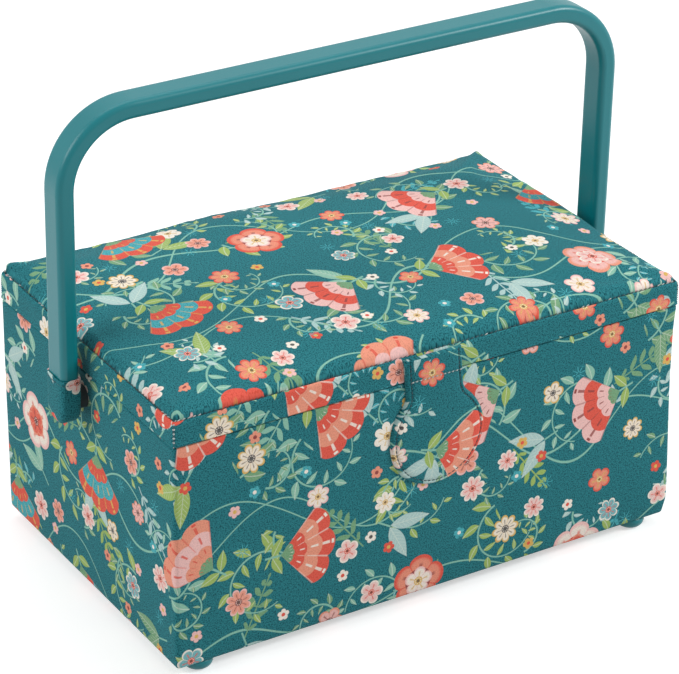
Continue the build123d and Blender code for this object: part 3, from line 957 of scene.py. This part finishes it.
def settle(sheet, pinned, pressure, cap, frames=20):
    """A short cloth run on a mesh with its pinned group held; no point moves further than the cap."""
    scene = bpy.context.scene
    rest = np.empty(len(sheet.data.vertices) * 3)
    sheet.data.vertices.foreach_get("co", rest)
    rest = rest.reshape(-1, 3)
    cloth = sheet.modifiers.new("cloth", "CLOTH")
    settings = cloth.settings
    settings.quality = 6
    settings.mass = 0.25
    settings.tension_stiffness = 40
    settings.compression_stiffness = 40
    settings.shear_stiffness = 12
    settings.bending_stiffness = 1.2
    settings.use_pressure = True
    settings.uniform_pressure_force = pressure
    settings.effector_weights.gravity = 0
    settings.vertex_group_mass = pinned
    cloth.point_cache.frame_start = 1
    cloth.point_cache.frame_end = frames
    for number in range(1, frames + 1):
        scene.frame_set(number)
    graph = bpy.context.evaluated_depsgraph_get()
    held = sheet.evaluated_get(graph).to_mesh()
    moved = np.empty(len(held.vertices) * 3)
    held.vertices.foreach_get("co", moved)
    moved = moved.reshape(-1, 3)
    sheet.evaluated_get(graph).to_mesh_clear()
    sheet.modifiers.remove(cloth)
    scene.frame_set(1)
    step = moved - rest
    size = np.linalg.norm(step, axis=1, keepdims=True)
    step *= np.minimum(1.0, cap * MM / np.maximum(size, 1e-9))
    sheet.data.vertices.foreach_set("co", (rest + step).ravel())
    sheet.data.update()


def spaced(half, edge_steps, spacing):
    """Places across a width, close together near both ends."""
    near = [half - e for e in edge_steps]
    count = round(2 * near[-1] / spacing)
    inner = [near[-1] - 2 * near[-1] * k / count for k in range(1, count)]
    return [*near, *inner, *[-v for v in near[::-1]]][::-1]


def make_lid_pad():
    """The padded top: printed cloth sewn down at its edge over wadding, settled by a cloth run."""
    length = LENGTH - 2 * SEAM_INSET - 0.6
    depth = DEPTH - 2 * SEAM_INSET - 0.6
    edge_steps = (0.0, 0.35, 1.0, 2.0, 3.4, 5.2, 7.6, 10.6)
    xs = spaced(length / 2, edge_steps, 4.2)
    ys = spaced(depth / 2, edge_steps, 4.2)
    corner = 2.4
    rows = []
    for y in ys:
        row = []
        for x in xs:
            ix, iy = length / 2 - abs(x), depth / 2 - abs(y)
            px, py = x, y
            if ix < corner and iy < corner:
                cx, cy = length / 2 - corner, depth / 2 - corner
                dx, dy = abs(x) - cx, abs(y) - cy
                far = max(dx, dy)
                size = math.hypot(dx, dy)
                if size > 1e-6:
                    px = math.copysign(cx + dx * far / size, x)
                    py = math.copysign(cy + dy * far / size, y)
            inset = min(ix, iy)
            z = SEAM - 0.1 + crown_height(x, y, length, depth) + seam_lift(x, y) * math.exp(-inset / 7)
            run = px if iy < ix else py
            fade = min(1.0, inset / 1.6) * math.exp(-inset / 8.0)
            gather = math.sin(run / 2.9 + 5.0 * waves((px, py, 0), 31, 1.0))
            z += 0.3 * fade * gather * (0.6 + waves((px, py, 0), 22, 4.0))
            z += min(1.0, inset / 9) * 0.9 * waves((px, py, 0), 58, 2.0)
            z += min(1.0, inset / 5) * 0.16 * waves((px, py, 0), 15, 7.0)
            over = 0.9 * math.exp(-math.hypot(length / 2 + x, depth / 2 - y) / 9) * min(1.0, inset / 1.0)
            row.append((px - over, py + over * 0.6, z + over * 0.5))
        rows.append(row)
    uv_rows = [[(p[0] + 12.0, p[1] + 31.0) for p in row] for row in rows]

    def uv_at(i, j):
        return uv_rows[i][j]

    verts, faces, uvs = grid(rows, uv_at, False, False)
    made = piece("lid_pad", verts, faces, uvs, PRINT, "printed_cloth")
    pinned = made.vertex_groups.new(name="sewn")
    cols = len(xs)
    edge = [k for k in range(len(verts)) if k % cols in (0, cols - 1) or k // cols in (0, len(ys) - 1)]
    pinned.add(edge, 1.0, "REPLACE")
    settle(made, "sewn", 1.6, 1.6)
    made.vertex_groups.clear()
    work = bmesh.new()
    work.from_mesh(made.data)
    layer = work.loops.layers.uv["cloth"]
    rim = [e for e in work.edges if e.is_boundary]
    drawn = bmesh.ops.extrude_edge_only(work, edges=rim)["geom"]
    low_verts = [g for g in drawn if isinstance(g, bmesh.types.BMVert)]
    for v in low_verts:
        v.co.x *= 1 - 0.9 * MM / max(abs(v.co.x), 0.02)
        v.co.y *= 1 - 0.9 * MM / max(abs(v.co.y), 0.02)
        v.co.z = (LID_BOARD_TOP + 0.08) * MM
    low_edges = [e for e in work.edges if e.is_boundary]
    bmesh.ops.contextual_create(work, geom=low_edges)
    lowered = set(low_verts)
    for face in work.faces:
        if any(v in lowered for v in face.verts):
            for loop in face.loops:
                loop[layer].uv = (loop.vert.co.x + 0.012, loop.vert.co.y + 0.031)
            face.smooth = len(face.verts) == 4
            face.material_index = 0
    bmesh.ops.recalc_face_normals(work, faces=work.faces)
    work.to_mesh(made.data)
    work.free()
    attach(made, "lid")
    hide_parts("lid_top_cover", "lid_wadding")


make_lid_pad()


def stitch_mesh(name, runs, thickness, material, body):
    """Short bowed thread stitches as one piece. Each run is (start, end, outward) in millimetres."""
    verts, faces = [], []
    spots, sides = 5, 6
    for start, end, out in runs:
        start, end, out = Vector(start), Vector(end), Vector(out).normalized()
        along = (end - start).normalized()
        side = along.cross(out)
        base = len(verts)
        for k in range(spots):
            t = k / (spots - 1)
            size = thickness / 2 * (0.35 + 0.65 * math.sin(math.pi * (0.12 + 0.76 * t)))
            bow = math.sin(math.pi * t) * thickness * 0.55 - thickness * 0.12
            middle = start + (end - start) * t + out * bow
            for n in range(sides):
                a = TAU * n / sides
                verts.append(middle + (out * math.cos(a) + side * math.sin(a)) * size)
        for k in range(spots - 1):
            for n in range(sides):
                m = (n + 1) % sides
                a, b = base + k * sides, base + (k + 1) * sides
                faces.append([a + n, a + m, b + m, b + n])
        faces.append([base + n for n in range(sides)][::-1])
        faces.append([base + (spots - 1) * sides + n for n in range(sides)])
    made = piece(name, verts, faces, None, material, "printed_cloth")
    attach(made, body)
    return made


def make_seam_threads():
    """Small stitches in the groove round the top, and pale whip stitches down the lid's corners, with dark
    stitches between them as painted shade.
    """
    length, depth = LENGTH - 2 * SEAM_INSET, DEPTH - 2 * SEAM_INSET
    points, normals, _ = outline(length, depth, 1.3, 0, 2.9, 2)
    dark, pale = [], []
    count = len(points)
    for k in range(count):
        (x, y), (nx, ny) = points[k], normals[k]
        (x2, y2) = points[(k + 1) % count]
        dx, dy = x2 - x, y2 - y
        lift = seam_lift(x, y)
        start = (x + dx * 0.12, y + dy * 0.12, SEAM + 0.05 + lift)
        end = (x + dx * 0.82 - nx * 0.5, y + dy * 0.82 - ny * 0.5, SEAM + 0.35 + lift)
        near = math.hypot(length / 2 - abs(x), depth / 2 - abs(y)) < 15
        behind_strap = y < 0 and abs(x - STRAP_SHIFT) < 20
        bright = noise.noise(Vector((k * 0.37, 2.0, 5.0))) > (-0.1 if near else 0.34)
        chosen = pale if bright and not behind_strap else dark
        chosen.append((start, end, (nx, ny, 0.8)))
    stitch_mesh("seam_thread", dark, 0.42, THREAD_DARK, "lid")
    whips, whips_shade = [], []
    for sx, sy in ((-1, -1), (-1, 1), (1, -1), (1, 1)):
        cx, cy = sx * (LENGTH / 2 - TURN), sy * (DEPTH / 2 - TURN)
        mid = math.atan2(sy, sx)
        for k in range(11):
            z = RIM + 1.2 + 1.2 * k
            out = TURN - 0.08 - 0.35 * max(0.0, z - SEAM + 2.6)
            spread = 0.26 + 0.05 * ((k * 7) % 3)
            a, b = mid - spread, mid + spread
            start = (cx + out * math.cos(a), cy + out * math.sin(a), z - 0.15)
            end = (cx + out * math.cos(b), cy + out * math.sin(b), z + 0.2)
            # Every other stitch down a corner is dark thread as painted shade, standing for the shadow in the
            # gaps between the pale whip stitches.
            target = whips if k % 2 == 0 else whips_shade
            target.append((start, end, (sx, sy, 0)))
    stitch_mesh("corner_thread", whips, 1.0, THREAD_PALE, "lid")
    # Painted shade: the dark stitches between the pale whip stitches.
    stitch_mesh("corner_painted_shade", whips_shade, 0.8, THREAD_DARK, "lid")
    stitch_mesh("seam_thread_pale", pale, 0.6, THREAD_PALE, "lid")


make_seam_threads()


def make_lid_lining():
    """Plain cloth inside the lid's rails and under its board."""
    inner = -(WALL + LINING)
    low = RIM + 1.1
    face = [(inner + 0.5, low), (inner + 0.1, low + 0.3), (inner, low + 1.0), (inner, low + 3.5)]
    face += [(inner, CEILING - 2.4), (inner - 0.4, CEILING - 1.0), (inner - 1.3, CEILING - 0.2)]
    face += [(inner - v, CEILING) for v in (3.2, *FLAT_INSETS)]
    made = fitted_lining("lid_lining_cloth", "lid_lining", "lid", face, CEILING, -1, (23, 9.6), (15.0, 0.0))


make_lid_lining()


def make_pincushion():
    """A soft pad under the lid, drawn in where it is sewn down."""
    low, high = limits("pincushion")
    cx, cy = (low[0] + high[0]) / 2, (low[1] + high[1]) / 2
    length, depth = high[0] - low[0], high[1] - low[1]
    top, drop = high[2], high[2] - low[2]
    levels = [(3.4, 0.02), (1.6, 0.08), (0.7, 0.2), (0.2, 0.38), (0.8, 0.58), (2.6, 0.74), (5.4, 0.85)]
    levels += [(9.0, 0.92), (13.0, 0.96), (17.5, 0.985), (22.0, 1.0), (26.0, 1.0), (29.5, 1.0)]
    rows = []
    for inset, share in levels:
        points, normals, _ = outline(length, depth, 9.0, inset, 4.0, 5)
        row = []
        for (x, y), (nx, ny) in zip(points, normals):
            pull = 0.5 * math.sin(math.atan2(y, x) * 22) * math.exp(-((share - 0.1) ** 2) / 0.03)
            z = top - drop * share * 0.97 + 0.35 * waves((x, y, 0), 14, 3.3) * share
            row.append((cx + x + nx * pull * 0.5, cy + y + ny * pull * 0.5, z))
        rows.append(row)

    def uv_at(i, j):
        p = rows[i][j % len(rows[i])]
        return p[0], p[1]

    verts, faces, uvs = grid(rows, uv_at, False, True)
    cols = len(rows[0])
    for base in (0, (len(rows) - 1) * cols):
        faces.append([base + j for j in range(cols)])
        uvs.append([(v[0], v[1]) for v in verts[base:base + cols]])
    made = piece("pincushion_pad", verts, faces, uvs, FELT, "cushion_cloth")
    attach(made, "lid")
    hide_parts("pincushion")


make_pincushion()


def make_hinge():
    """One strip of cloth glued across the back, from the body to the lid."""
    low = limits("hinge_tape_body")[0]
    high = limits("hinge_tape_lid")[1]
    xs = np.linspace(low[0], high[0], 90)
    zs = [*np.linspace(low[2], RIM - 5, 7), *np.linspace(RIM - 3.6, RIM + 3.6, 13)]
    zs += [*np.linspace(RIM + 5, high[2], 5)]
    face, behind = [], []
    for z in zs:
        outer = high[1] - 0.03
        row = []
        for x in xs:
            sides = min((x - low[0]) / 1.2, (high[0] - x) / 1.2)
            end = min(1.0, sides, (z - low[2]) / 1.2 + 0.35, (high[2] - z) / 1.2 + 0.35)
            row.append((x, outer - 0.12 * (1 - end) - 0.05 * (1 + waves((x, 0, z), 12, 3.9)), z))
        face.append(row)
        behind.append([(x, BACK + 0.16, z) for x in xs])
    made = sheet_rows("hinge_cloth", behind, face)
    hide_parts("hinge_tape_body", "hinge_tape_lid")
    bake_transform(made)


make_hinge()

# Closure tab

DISC_R = 28.5
DISC_Z = UNDER + 93.3
STRAP_HALF = 17.2
FLARE = 9.0
STRAP_TOP = SEAM - 0.4


def tab_edge():
    """The tab's outline from its top right, down round the disc and up to its top left, as (x, height)."""
    reach = DISC_R + FLARE
    side = STRAP_HALF + FLARE
    rise = math.sqrt(reach ** 2 - side ** 2)
    meet = math.atan2(rise, side)
    right = [(STRAP_HALF, z) for z in np.linspace(STRAP_TOP, DISC_Z + rise, 16)]
    for k in range(1, 9):
        a = math.pi + meet * k / 8
        right.append((side + FLARE * math.cos(a), DISC_Z + rise + FLARE * math.sin(a)))
    for k in range(1, 33):
        a = meet + (-math.pi / 2 - meet) * k / 32
        right.append((DISC_R * math.cos(a), DISC_Z + DISC_R * math.sin(a)))
    return right + [(-x, z) for x, z in right[-2::-1]]


def tab_lean(z):
    """How far the strap leans to the left at a height."""
    return STRAP_SHIFT * max(0.0, z - DISC_Z) / (STRAP_TOP - DISC_Z)


def tab_half_width(z, edge):
    """The tab's half width at a height."""
    right = edge[: len(edge) // 2 + 1]
    return float(np.interp(-z, [-p[1] for p in right], [p[0] for p in right]))


def make_tab():
    """The strap and its disc, plump inside a stitched edge, with the magnet's round showing."""
    edge = tab_edge()
    line = np.array(edge)
    a, b = line[:-1], line[1:]
    d = b - a

    def to_edge(x, z):
        """The distance from the tab's outline."""
        t = np.clip(((x - a[:, 0]) * d[:, 0] + (z - a[:, 1]) * d[:, 1]) / (d ** 2).sum(1), 0, 1)
        near = a + d * t[:, None]
        return float(np.min(np.hypot(near[:, 0] - x, near[:, 1] - z)))

    low = DISC_Z - DISC_R
    heights = list(np.arange(STRAP_TOP, DISC_Z + 27, -1.1))
    heights += [DISC_Z + DISC_R * math.sin(t) for t in np.linspace(1.2, -math.pi / 2, 52)[:-1]]
    heights = sorted({round(float(h), 3) for h in heights}, reverse=True)
    heights.append(low + 0.02)
    back = FRONT - 0.42
    rows, plan = [], []
    inner = (0.0, 0.12, 0.35, 0.7, 1.1, 1.6, 2.1, 2.5, 2.9, 3.4, 4.4, 6.0)
    for z in heights:
        half = max(tab_half_width(z, edge), 0.05)
        cuts = [half - e * min(1.0, half / 8.0) for e in inner]
        middle = np.linspace(cuts[-1], -cuts[-1], 12)[1:-1]
        front = [*cuts, *middle, *[-c for c in cuts[::-1]]]
        rear = np.linspace(-half, half, 10)[1:-1]
        row, flat = [], []
        for x in front:
            gap = to_edge(x, z)
            plump = 2.9 * (1 - math.exp(-((gap / 0.85) ** 0.8)))
            plump -= 0.85 * math.exp(-(((gap - 2.7) / 0.45) ** 2))
            plump += 0.35 * min(1.0, max(0.0, gap - 3.0) / 5)
            around = math.hypot(x, z - DISC_Z)
            plump += 0.55 / (1 + math.exp((around - 11.2) * 2.2))
            plump += 0.22 * waves((x, 0, z), 11, 2.7) * min(1.0, gap / 4)
            step = 0.28 * math.exp(-(((z - RIM) / 3.0) ** 2))
            row.append((x + tab_lean(z), back - plump + step * min(1.0, gap / 3), z))
            flat.append((x, z))
        for x in rear:
            row.append((x + tab_lean(z), back, z))
            flat.append((x, z))
        rows.append(row)
        plan.append(flat)
    cols = len(rows[0])

    def uv_at(i, j):
        x, z = plan[i][j % cols]
        return x + 412.0, z + 74.0

    verts, faces, uvs = grid(rows, uv_at, False, True)
    for base in (0, (len(rows) - 1) * cols):
        faces.append([base + j for j in range(cols)])
        uvs.append([(v[0] + 412, v[2] + 74) for v in verts[base:base + cols]])
    made = piece("tab", verts, faces, uvs, PRINT, "printed_cloth")
    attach(made, "closure_tab")
    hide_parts("tab_back", "tab_interlining", "tab_front")
    return edge, back


tab_outline_points, tab_back_y = make_tab()


def make_tab_threads():
    """Machine stitches round the tab, and one row across its strap."""
    line = np.array(tab_outline_points)
    d = np.gradient(line, axis=0)
    d /= np.linalg.norm(d, axis=1, keepdims=True)
    inside = line + np.column_stack((d[:, 1], -d[:, 0])) * -2.7
    if abs(inside[0, 0]) > abs(line[0, 0]):
        inside = line - np.column_stack((d[:, 1], -d[:, 0])) * -2.7
    run = np.concatenate(([0], np.cumsum(np.hypot(*np.diff(inside, axis=0).T))))
    y = tab_back_y - 2.25
    threads = []
    pitch = 2.5
    for k in range(int(run[-1] / pitch)):
        s, e = pitch * k + 0.35, pitch * k + 2.0
        ends = []
        for at in (s, e):
            x, z = np.interp(at, run, inside[:, 0]), np.interp(at, run, inside[:, 1])
            ends.append((x + tab_lean(z), y, z))
        threads.append((ends[0], ends[1], (0, -1, 0)))
    stitch_mesh("tab_thread", threads, 0.42, THREAD_DARK, "closure_tab")
    across = []
    z = SEAM - 12.5
    y = tab_back_y - 3.3
    for k in range(13):
        x = -15.0 + 2.4 * k + tab_lean(z)
        across.append(((x, y, z - 0.1), (x + 1.5, y, z + 0.1), (0, -1, 0)))
    stitch_mesh("tab_thread_across", across, 0.62, THREAD_PALE, "closure_tab")


make_tab_threads()

# Handle sleeves

PIVOT = Vector(next(j for j in frame["joints"] if j["name"] == "handle_fold")["pos_m"]) / MM
LEG_DEPTH, LEG_T = 17.0, 10.0
LEG_HALF = limits("handle_hoop")[1][0]
LEAN = math.radians(0.8)
SPLAY = math.atan2(0.5, 154.3)
SQUARENESS = 0.42


def make_sleeve(side, name, node):
    """A sleeve of printed cloth pulled up over a leg's end, open above with a soft hem."""
    hem = 15.5
    skin = 0.95
    drops = [0.5, 0.0, -0.15, 0.25, 1.2, 2.2, 3.2, 4.6]
    rise = [hem - drop for drop in drops] + list(np.linspace(hem - 6.5, 0.5, 8))
    out = [0.1, 0.3, 0.75, 1.05, 1.1, 0.92, 1.02, 1.05] + [1.0] * 8
    foot = LEG_DEPTH / 2 + skin
    angles = np.linspace(0, math.pi / 2, 16)[1:]
    centre_x = side * (LEG_HALF - LEG_T / 2)
    around = 44
    rows = []

    def loop_at(half_depth, half_t, z, extra):
        """One row of the sleeve, round a leg with rounded edges."""
        row = []
        for k in range(around):
            a = TAU * (k + 0.5) / around
            c, s = math.cos(a), math.sin(a)
            y = half_depth * math.copysign(abs(c) ** SQUARENESS, c)
            x = half_t * math.copysign(abs(s) ** SQUARENESS, s)
            soft = extra * waves((x * 3 + side * 9, y, z), 7.5, 1.9)
            row.append((x * (1 + soft / 12), y * (1 + soft / 16), z))
        return row

    for z, o in zip(rise, out):
        swell = 0.12 * math.sin(max(0.0, z) / 3.1)
        rows.append(loop_at(LEG_DEPTH / 2 + o + swell, LEG_T / 2 + o, z, 0.5 if o > 0.5 else 0.0))
    for a in angles:
        z = -(foot + 1.7) * math.sin(a)
        width = max(foot * math.cos(a) ** 0.8, 0.4)
        thick = (LEG_T / 2 + 1.0) * (1 - 0.42 * (math.sin(a) ** 5))
        rows.append(loop_at(width, thick, z, 0.5))
    tilt = Matrix.Rotation(LEAN, 3, "X")
    placed = []
    for row in rows:
        new = []
        for x, y, z in row:
            p = Vector((x, y, z))
            p.x -= side * math.tan(SPLAY) * z
            p = tilt @ Vector((0, p.y, p.z)) + Vector((p.x, 0, 0))
            new.append((centre_x + p.x, PIVOT.y + p.y, PIVOT.z + p.z))
        placed.append(new)
    runs = [0.0]
    for i in range(1, len(rows)):
        runs.append(runs[-1] + abs(rows[i][0][2] - rows[i - 1][0][2]))
    girth = [0.0]
    for k in range(around):
        girth.append(girth[-1] + math.dist(rows[8][k], rows[8][(k + 1) % around]))

    shift = 96 + 70 * side

    def uv_at(i, j):
        return girth[j] + shift, 40 - runs[i]

    verts, faces, uvs = grid(placed, uv_at, False, True)
    base = (len(placed) - 1) * around
    faces.append([base + j for j in range(around)])
    uvs.append([(girth[j] + shift, 40 - runs[-1]) for j in range(around)])
    made = piece(name, verts, faces, uvs, PRINT, "printed_cloth")
    solid = made.modifiers.new("cloth", "SOLIDIFY")
    solid.thickness = 0.35 * MM
    solid.offset = -1.0
    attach(made, "handle")
    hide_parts(node)
    threads = []
    ring_row = placed[5]
    for k in range(0, around, 2):
        a, b = Vector(ring_row[k]), Vector(ring_row[(k + 1) % around])
        mid = Vector((centre_x, PIVOT.y, a.z))
        outward = (a + b) / 2 - mid
        outward.z = 0
        lift = outward.normalized() * 0.12
        threads.append((a + lift, b + lift, outward))
    stitch_mesh(name + "_thread", threads, 0.36, THREAD_DARK, "handle")


make_sleeve(-1, "sleeve_left", "handle_sleeve_left")
make_sleeve(1, "sleeve_right", "handle_sleeve_right")

# Floor, light and background
FLOOR_GLOW = 0.52
SKY_LIGHT = 0.33
FLOOR_HALF = 6.0


def make_stage():
    """A pale floor that shows as white where no shadow falls."""
    made, net, shader = new_material("floor")
    tree = made.node_tree
    out = tree.nodes["Material Output"]
    spot = net.node("ShaderNodeTexCoord").outputs["Object"]
    grain = net.noise(spot, 60.0, 2.0)
    net.feed(shader.inputs["Base Color"], net.paint((0.7, 0.7, 0.7, 1), (0.72, 0.72, 0.72, 1), grain))
    shader.inputs["Roughness"].default_value = 0.9
    shader.inputs["Specular IOR Level"].default_value = 0.0
    glow = net.node("ShaderNodeEmission")
    glow.inputs["Color"].default_value = (1, 1, 1, 1)
    net.feed(glow.inputs["Strength"], net.seen() * FLOOR_GLOW)
    both = net.node("ShaderNodeAddShader")
    net.feed(both.inputs[0], shader.outputs[0])
    net.feed(both.inputs[1], glow.outputs[0])
    net.feed(out.inputs["Surface"], both.outputs[0])
    mesh = bpy.data.meshes.new("floor")
    corners = [(sx * FLOOR_HALF, sy * FLOOR_HALF, 0) for sx, sy in ((-1, -1), (1, -1), (1, 1), (-1, 1))]
    mesh.from_pydata(corners, [], [(0, 1, 2, 3)])
    mesh.materials.append(made)
    floor = bpy.data.objects.new("floor", mesh)
    floor.location = (0, 0, -0.00002)
    bpy.context.scene.collection.objects.link(floor)


make_stage()


def make_world():
    """A white surrounding that lights the object softly."""
    world = bpy.data.worlds.new("studio")
    bpy.context.scene.world = world
    world.use_nodes = True
    net = Net(world.node_tree)
    back = world.node_tree.nodes["Background"]
    back.inputs["Color"].default_value = (1, 1, 1, 1)
    net.feed(back.inputs["Strength"], net.seen() * (1 - SKY_LIGHT) + SKY_LIGHT)


make_world()


def area_light(name, place, aim, size, power):
    """A rectangular lamp turned to its aim point."""
    data = bpy.data.lights.new(name, "AREA")
    data.shape = "RECTANGLE"
    data.size, data.size_y = size
    data.energy = power
    lamp = bpy.data.objects.new(name, data)
    lamp.location = place
    lamp.rotation_mode = "QUATERNION"
    lamp.rotation_quaternion = (Vector(aim) - Vector(place)).to_track_quat("-Z", "Y")
    bpy.context.scene.collection.objects.link(lamp)


area_light("key", (1.25, -0.95, 1.15), (0, 0, 0.08), (0.6, 0.5), 22.6)
area_light("fill", (-1.35, 0.25, 1.0), (0, 0, 0.1), (1.0, 0.8), 12.2)
area_light("top", (0.1, 0.4, 1.7), (0, 0, 0.12), (1.4, 1.2), 8.5)

bpy.context.scene.view_settings.view_transform = "Standard"
